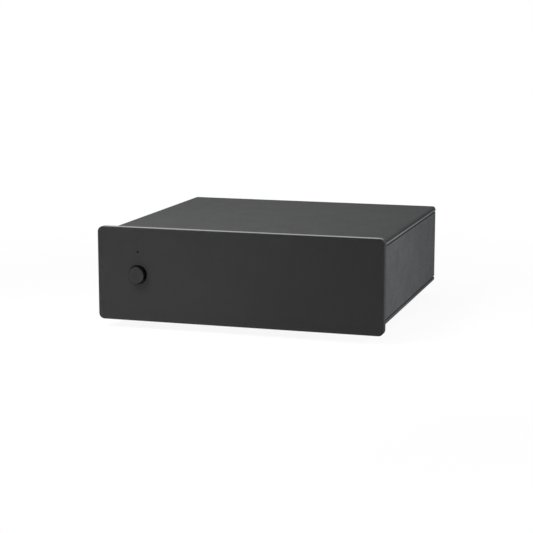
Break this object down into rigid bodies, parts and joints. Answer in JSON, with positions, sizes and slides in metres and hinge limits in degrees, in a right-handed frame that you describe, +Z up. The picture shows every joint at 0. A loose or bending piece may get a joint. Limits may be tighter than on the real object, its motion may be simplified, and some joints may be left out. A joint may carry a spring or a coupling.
{
  "type": "phono preamplifier",
  "caption": "Flat metal box with a thick front panel, a round push button and pinhole light, and phono sockets, earth terminal and power inlet at the rear.",
  "frame": {"origin": "on the surface that the feet stand on, under the middle of the overall length and width", "axes": "+X to the right seen from the front, +Y towards the rear sockets, +Z up"},
  "size_m": [0.206, 0.2046, 0.0721],
  "materials": {
    "panel_black": "smooth matte black anodised",
    "case_black": "bead blasted black anodised",
    "rear_black": "matte black anodised",
    "button_black": "turned and matte black anodised",
    "foot_rubber": "moulded black rubber",
    "zinc_steel": "bright zinc plated",
    "black_steel": "black oxide",
    "white_plastic": "moulded white",
    "black_plastic": "moulded black",
    "lamp_resin": "clear cast resin",
    "clear_resin": "clear moulded acrylic",
    "board_laminate": "glass epoxy with green mask",
    "plated_brass": "nickel plated brass",
    "gold_plate": "gold plated brass",
    "red_insulator": "moulded red",
    "white_insulator": "moulded white",
    "contact_chrome": "bright plated pin",
    "switch_blue": "moulded blue",
    "capacitor_sleeve": "shrunk black sleeve",
    "film_box": "moulded dull red",
    "relay_case": "moulded cream",
    "sink_aluminium": "black anodised extrusion"
  },
  "bodies": {
    "chassis": {"front_panel": "panel_black", "top_cover": "case_black", "bottom_cover": "case_black", "side_panel_left": "case_black", "side_panel_right": "case_black", "rear_panel": "rear_black", "front_bracket": "zinc_steel", "rubber_feet": "foot_rubber", "foot_screws": "black_steel", "front_panel_screws": "zinc_steel", "bracket_screws": "black_steel", "rear_panel_screws": "black_steel", "side_panel_screws": "zinc_steel", "button_spring": "zinc_steel", "power_switch": "black_plastic", "power_led": "lamp_resin", "light_pipe": "clear_resin", "switch_board": "board_laminate", "switch_board_spacers": "plated_brass", "board_header": "black_plastic", "socket_shells": "gold_plate", "socket_insulators_right": "red_insulator", "socket_insulators_left": "white_insulator", "socket_contacts": "gold_plate", "socket_housings": "black_plastic", "socket_screws": "black_steel", "ground_stud": "plated_brass", "dc_socket": "black_plastic", "dc_socket_pin": "contact_chrome", "dip_body_left": "switch_blue", "dip_body_right": "switch_blue", "main_board": "board_laminate", "board_standoffs": "plated_brass", "board_screws": "zinc_steel", "electrolytic_capacitors": "capacitor_sleeve", "film_capacitors": "film_box", "relays": "relay_case", "heat_sinks": "sink_aluminium", "regulators": "black_plastic", "transistors": "black_plastic"},
    "button": {"power_button": "button_black", "switch_plunger": "white_plastic"},
    "dip_lever_left_1": {"dip_lever_left_1": "white_plastic"},
    "dip_lever_left_2": {"dip_lever_left_2": "white_plastic"},
    "dip_lever_left_3": {"dip_lever_left_3": "white_plastic"},
    "dip_lever_left_4": {"dip_lever_left_4": "white_plastic"},
    "dip_lever_left_5": {"dip_lever_left_5": "white_plastic"},
    "dip_lever_left_6": {"dip_lever_left_6": "white_plastic"},
    "dip_lever_left_7": {"dip_lever_left_7": "white_plastic"},
    "dip_lever_left_8": {"dip_lever_left_8": "white_plastic"},
    "dip_lever_right_1": {"dip_lever_right_1": "white_plastic"},
    "dip_lever_right_2": {"dip_lever_right_2": "white_plastic"},
    "dip_lever_right_3": {"dip_lever_right_3": "white_plastic"},
    "dip_lever_right_4": {"dip_lever_right_4": "white_plastic"},
    "dip_lever_right_5": {"dip_lever_right_5": "white_plastic"},
    "dip_lever_right_6": {"dip_lever_right_6": "white_plastic"},
    "dip_lever_right_7": {"dip_lever_right_7": "white_plastic"},
    "dip_lever_right_8": {"dip_lever_right_8": "white_plastic"},
    "ground_washer": {"ground_washer": "plated_brass"},
    "ground_nut": {"ground_nut": "gold_plate"}
  },
  "joints": [
    {"name": "button_press", "type": "slide", "parent": "chassis", "child": "button", "axis": [0, 1, 0], "range_m": [0, 0.0025], "stiffness_N_per_m": 400, "springref_m": -0.004, "deforming": ["button_spring"]},
    {"name": "dip_lever_left_1_slide", "type": "slide", "parent": "chassis", "child": "dip_lever_left_1", "axis": [0, 1, 0], "range_m": [0, 0.0014]},
    {"name": "dip_lever_left_2_slide", "type": "slide", "parent": "chassis", "child": "dip_lever_left_2", "axis": [0, 1, 0], "range_m": [0, 0.0014]},
    {"name": "dip_lever_left_3_slide", "type": "slide", "parent": "chassis", "child": "dip_lever_left_3", "axis": [0, 1, 0], "range_m": [0, 0.0014]},
    {"name": "dip_lever_left_4_slide", "type": "slide", "parent": "chassis", "child": "dip_lever_left_4", "axis": [0, 1, 0], "range_m": [0, 0.0014]},
    {"name": "dip_lever_left_5_slide", "type": "slide", "parent": "chassis", "child": "dip_lever_left_5", "axis": [0, 1, 0], "range_m": [0, 0.0014]},
    {"name": "dip_lever_left_6_slide", "type": "slide", "parent": "chassis", "child": "dip_lever_left_6", "axis": [0, 1, 0], "range_m": [0, 0.0014]},
    {"name": "dip_lever_left_7_slide", "type": "slide", "parent": "chassis", "child": "dip_lever_left_7", "axis": [0, 1, 0], "range_m": [0, 0.0014]},
    {"name": "dip_lever_left_8_slide", "type": "slide", "parent": "chassis", "child": "dip_lever_left_8", "axis": [0, 1, 0], "range_m": [0, 0.0014]},
    {"name": "dip_lever_right_1_slide", "type": "slide", "parent": "chassis", "child": "dip_lever_right_1", "axis": [0, 1, 0], "range_m": [0, 0.0014]},
    {"name": "dip_lever_right_2_slide", "type": "slide", "parent": "chassis", "child": "dip_lever_right_2", "axis": [0, 1, 0], "range_m": [0, 0.0014]},
    {"name": "dip_lever_right_3_slide", "type": "slide", "parent": "chassis", "child": "dip_lever_right_3", "axis": [0, 1, 0], "range_m": [0, 0.0014]},
    {"name": "dip_lever_right_4_slide", "type": "slide", "parent": "chassis", "child": "dip_lever_right_4", "axis": [0, 1, 0], "range_m": [0, 0.0014]},
    {"name": "dip_lever_right_5_slide", "type": "slide", "parent": "chassis", "child": "dip_lever_right_5", "axis": [0, 1, 0], "range_m": [0, 0.0014]},
    {"name": "dip_lever_right_6_slide", "type": "slide", "parent": "chassis", "child": "dip_lever_right_6", "axis": [0, 1, 0], "range_m": [0, 0.0014]},
    {"name": "dip_lever_right_7_slide", "type": "slide", "parent": "chassis", "child": "dip_lever_right_7", "axis": [0, 1, 0], "range_m": [0, 0.0014]},
    {"name": "dip_lever_right_8_slide", "type": "slide", "parent": "chassis", "child": "dip_lever_right_8", "axis": [0, 1, 0], "range_m": [0, 0.0014]},
    {"name": "ground_washer_slide", "type": "slide", "parent": "chassis", "child": "ground_washer", "axis": [0, 1, 0], "range_m": [0, 0.0035]},
    {"name": "ground_nut_turn", "type": "hinge", "parent": "ground_washer", "child": "ground_nut", "pos_m": [0.03, 0.098, 0.032], "axis": [0, 1, 0], "range_deg": [0, 1800]}
  ],
  "couplings": [
    {"joint": "ground_nut_turn", "follows": "ground_washer_slide", "rad_per_m": 8975.9}
  ]
}
